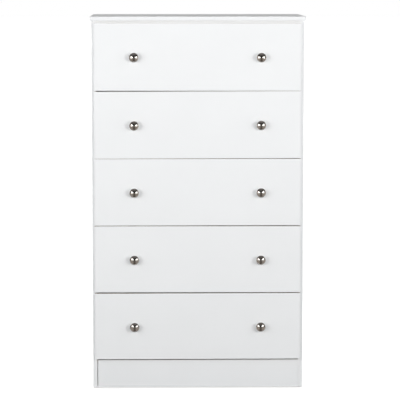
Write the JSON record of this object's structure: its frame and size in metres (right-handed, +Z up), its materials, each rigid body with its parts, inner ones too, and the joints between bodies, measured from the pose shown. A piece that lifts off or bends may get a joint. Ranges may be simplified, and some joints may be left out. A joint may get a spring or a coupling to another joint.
{
  "type": "tall chest of drawers",
  "caption": "Tall narrow white laminated chest of drawers with slab fronts, round metal knobs, a slightly overhanging top and a recessed toe kick.",
  "frame": {"origin": "on the floor, at the middle of the plan outline including the knobs", "axes": "+Z up, the drawers open towards -Y, +X is to the right of someone facing the drawers"},
  "size_m": [0.773, 0.4472, 1.352],
  "materials": {
    "top_board": "white melamine laminate on particleboard, satin",
    "carcass_board": "white melamine laminate on particleboard, satin",
    "front_board": "white melamine laminate with matching edge band, satin",
    "drawer_board": "white foil on particleboard",
    "drawer_hardboard": "white painted hardboard",
    "back_hardboard": "hardboard, raw brown behind and white painted inside",
    "runner_plastic": "moulded white plastic",
    "glide_plastic": "moulded plastic on a steel nail",
    "knob_metal": "polished nickel"
  },
  "bodies": {
    "carcass": {"top_panel": "top_board", "left_side_panel": "carcass_board", "right_side_panel": "carcass_board", "back_panel": "back_hardboard", "bottom_panel": "carcass_board", "toe_kick": "carcass_board", "front_top_rail": "carcass_board", "middle_front_rail": "carcass_board", "rear_top_rail": "carcass_board", "rear_base_rail": "carcass_board", "front_left_floor_glide": "glide_plastic", "front_right_floor_glide": "glide_plastic", "rear_left_floor_glide": "glide_plastic", "rear_right_floor_glide": "glide_plastic", "drawer_1_left_runner": "runner_plastic", "drawer_1_right_runner": "runner_plastic", "drawer_2_left_runner": "runner_plastic", "drawer_2_right_runner": "runner_plastic", "drawer_3_left_runner": "runner_plastic", "drawer_3_right_runner": "runner_plastic", "drawer_4_left_runner": "runner_plastic", "drawer_4_right_runner": "runner_plastic", "drawer_5_left_runner": "runner_plastic", "drawer_5_right_runner": "runner_plastic"},
    "drawer_1": {"drawer_1_front": "front_board", "drawer_1_left_side": "drawer_board", "drawer_1_right_side": "drawer_board", "drawer_1_back": "drawer_board", "drawer_1_bottom": "drawer_hardboard", "drawer_1_left_knob": "knob_metal", "drawer_1_right_knob": "knob_metal"},
    "drawer_2": {"drawer_2_front": "front_board", "drawer_2_left_side": "drawer_board", "drawer_2_right_side": "drawer_board", "drawer_2_back": "drawer_board", "drawer_2_bottom": "drawer_hardboard", "drawer_2_left_knob": "knob_metal", "drawer_2_right_knob": "knob_metal"},
    "drawer_3": {"drawer_3_front": "front_board", "drawer_3_left_side": "drawer_board", "drawer_3_right_side": "drawer_board", "drawer_3_back": "drawer_board", "drawer_3_bottom": "drawer_hardboard", "drawer_3_left_knob": "knob_metal", "drawer_3_right_knob": "knob_metal"},
    "drawer_4": {"drawer_4_front": "front_board", "drawer_4_left_side": "drawer_board", "drawer_4_right_side": "drawer_board", "drawer_4_back": "drawer_board", "drawer_4_bottom": "drawer_hardboard", "drawer_4_left_knob": "knob_metal", "drawer_4_right_knob": "knob_metal"},
    "drawer_5": {"drawer_5_front": "front_board", "drawer_5_left_side": "drawer_board", "drawer_5_right_side": "drawer_board", "drawer_5_back": "drawer_board", "drawer_5_bottom": "drawer_hardboard", "drawer_5_left_knob": "knob_metal", "drawer_5_right_knob": "knob_metal"}
  },
  "joints": [
    {"name": "drawer_1_slide", "type": "slide", "parent": "carcass", "child": "drawer_1", "axis": [0, -1, 0], "range_m": [0, 0.25]},
    {"name": "drawer_2_slide", "type": "slide", "parent": "carcass", "child": "drawer_2", "axis": [0, -1, 0], "range_m": [0, 0.25]},
    {"name": "drawer_3_slide", "type": "slide", "parent": "carcass", "child": "drawer_3", "axis": [0, -1, 0], "range_m": [0, 0.25]},
    {"name": "drawer_4_slide", "type": "slide", "parent": "carcass", "child": "drawer_4", "axis": [0, -1, 0], "range_m": [0, 0.25]},
    {"name": "drawer_5_slide", "type": "slide", "parent": "carcass", "child": "drawer_5", "axis": [0, -1, 0], "range_m": [0, 0.25]}
  ]
}
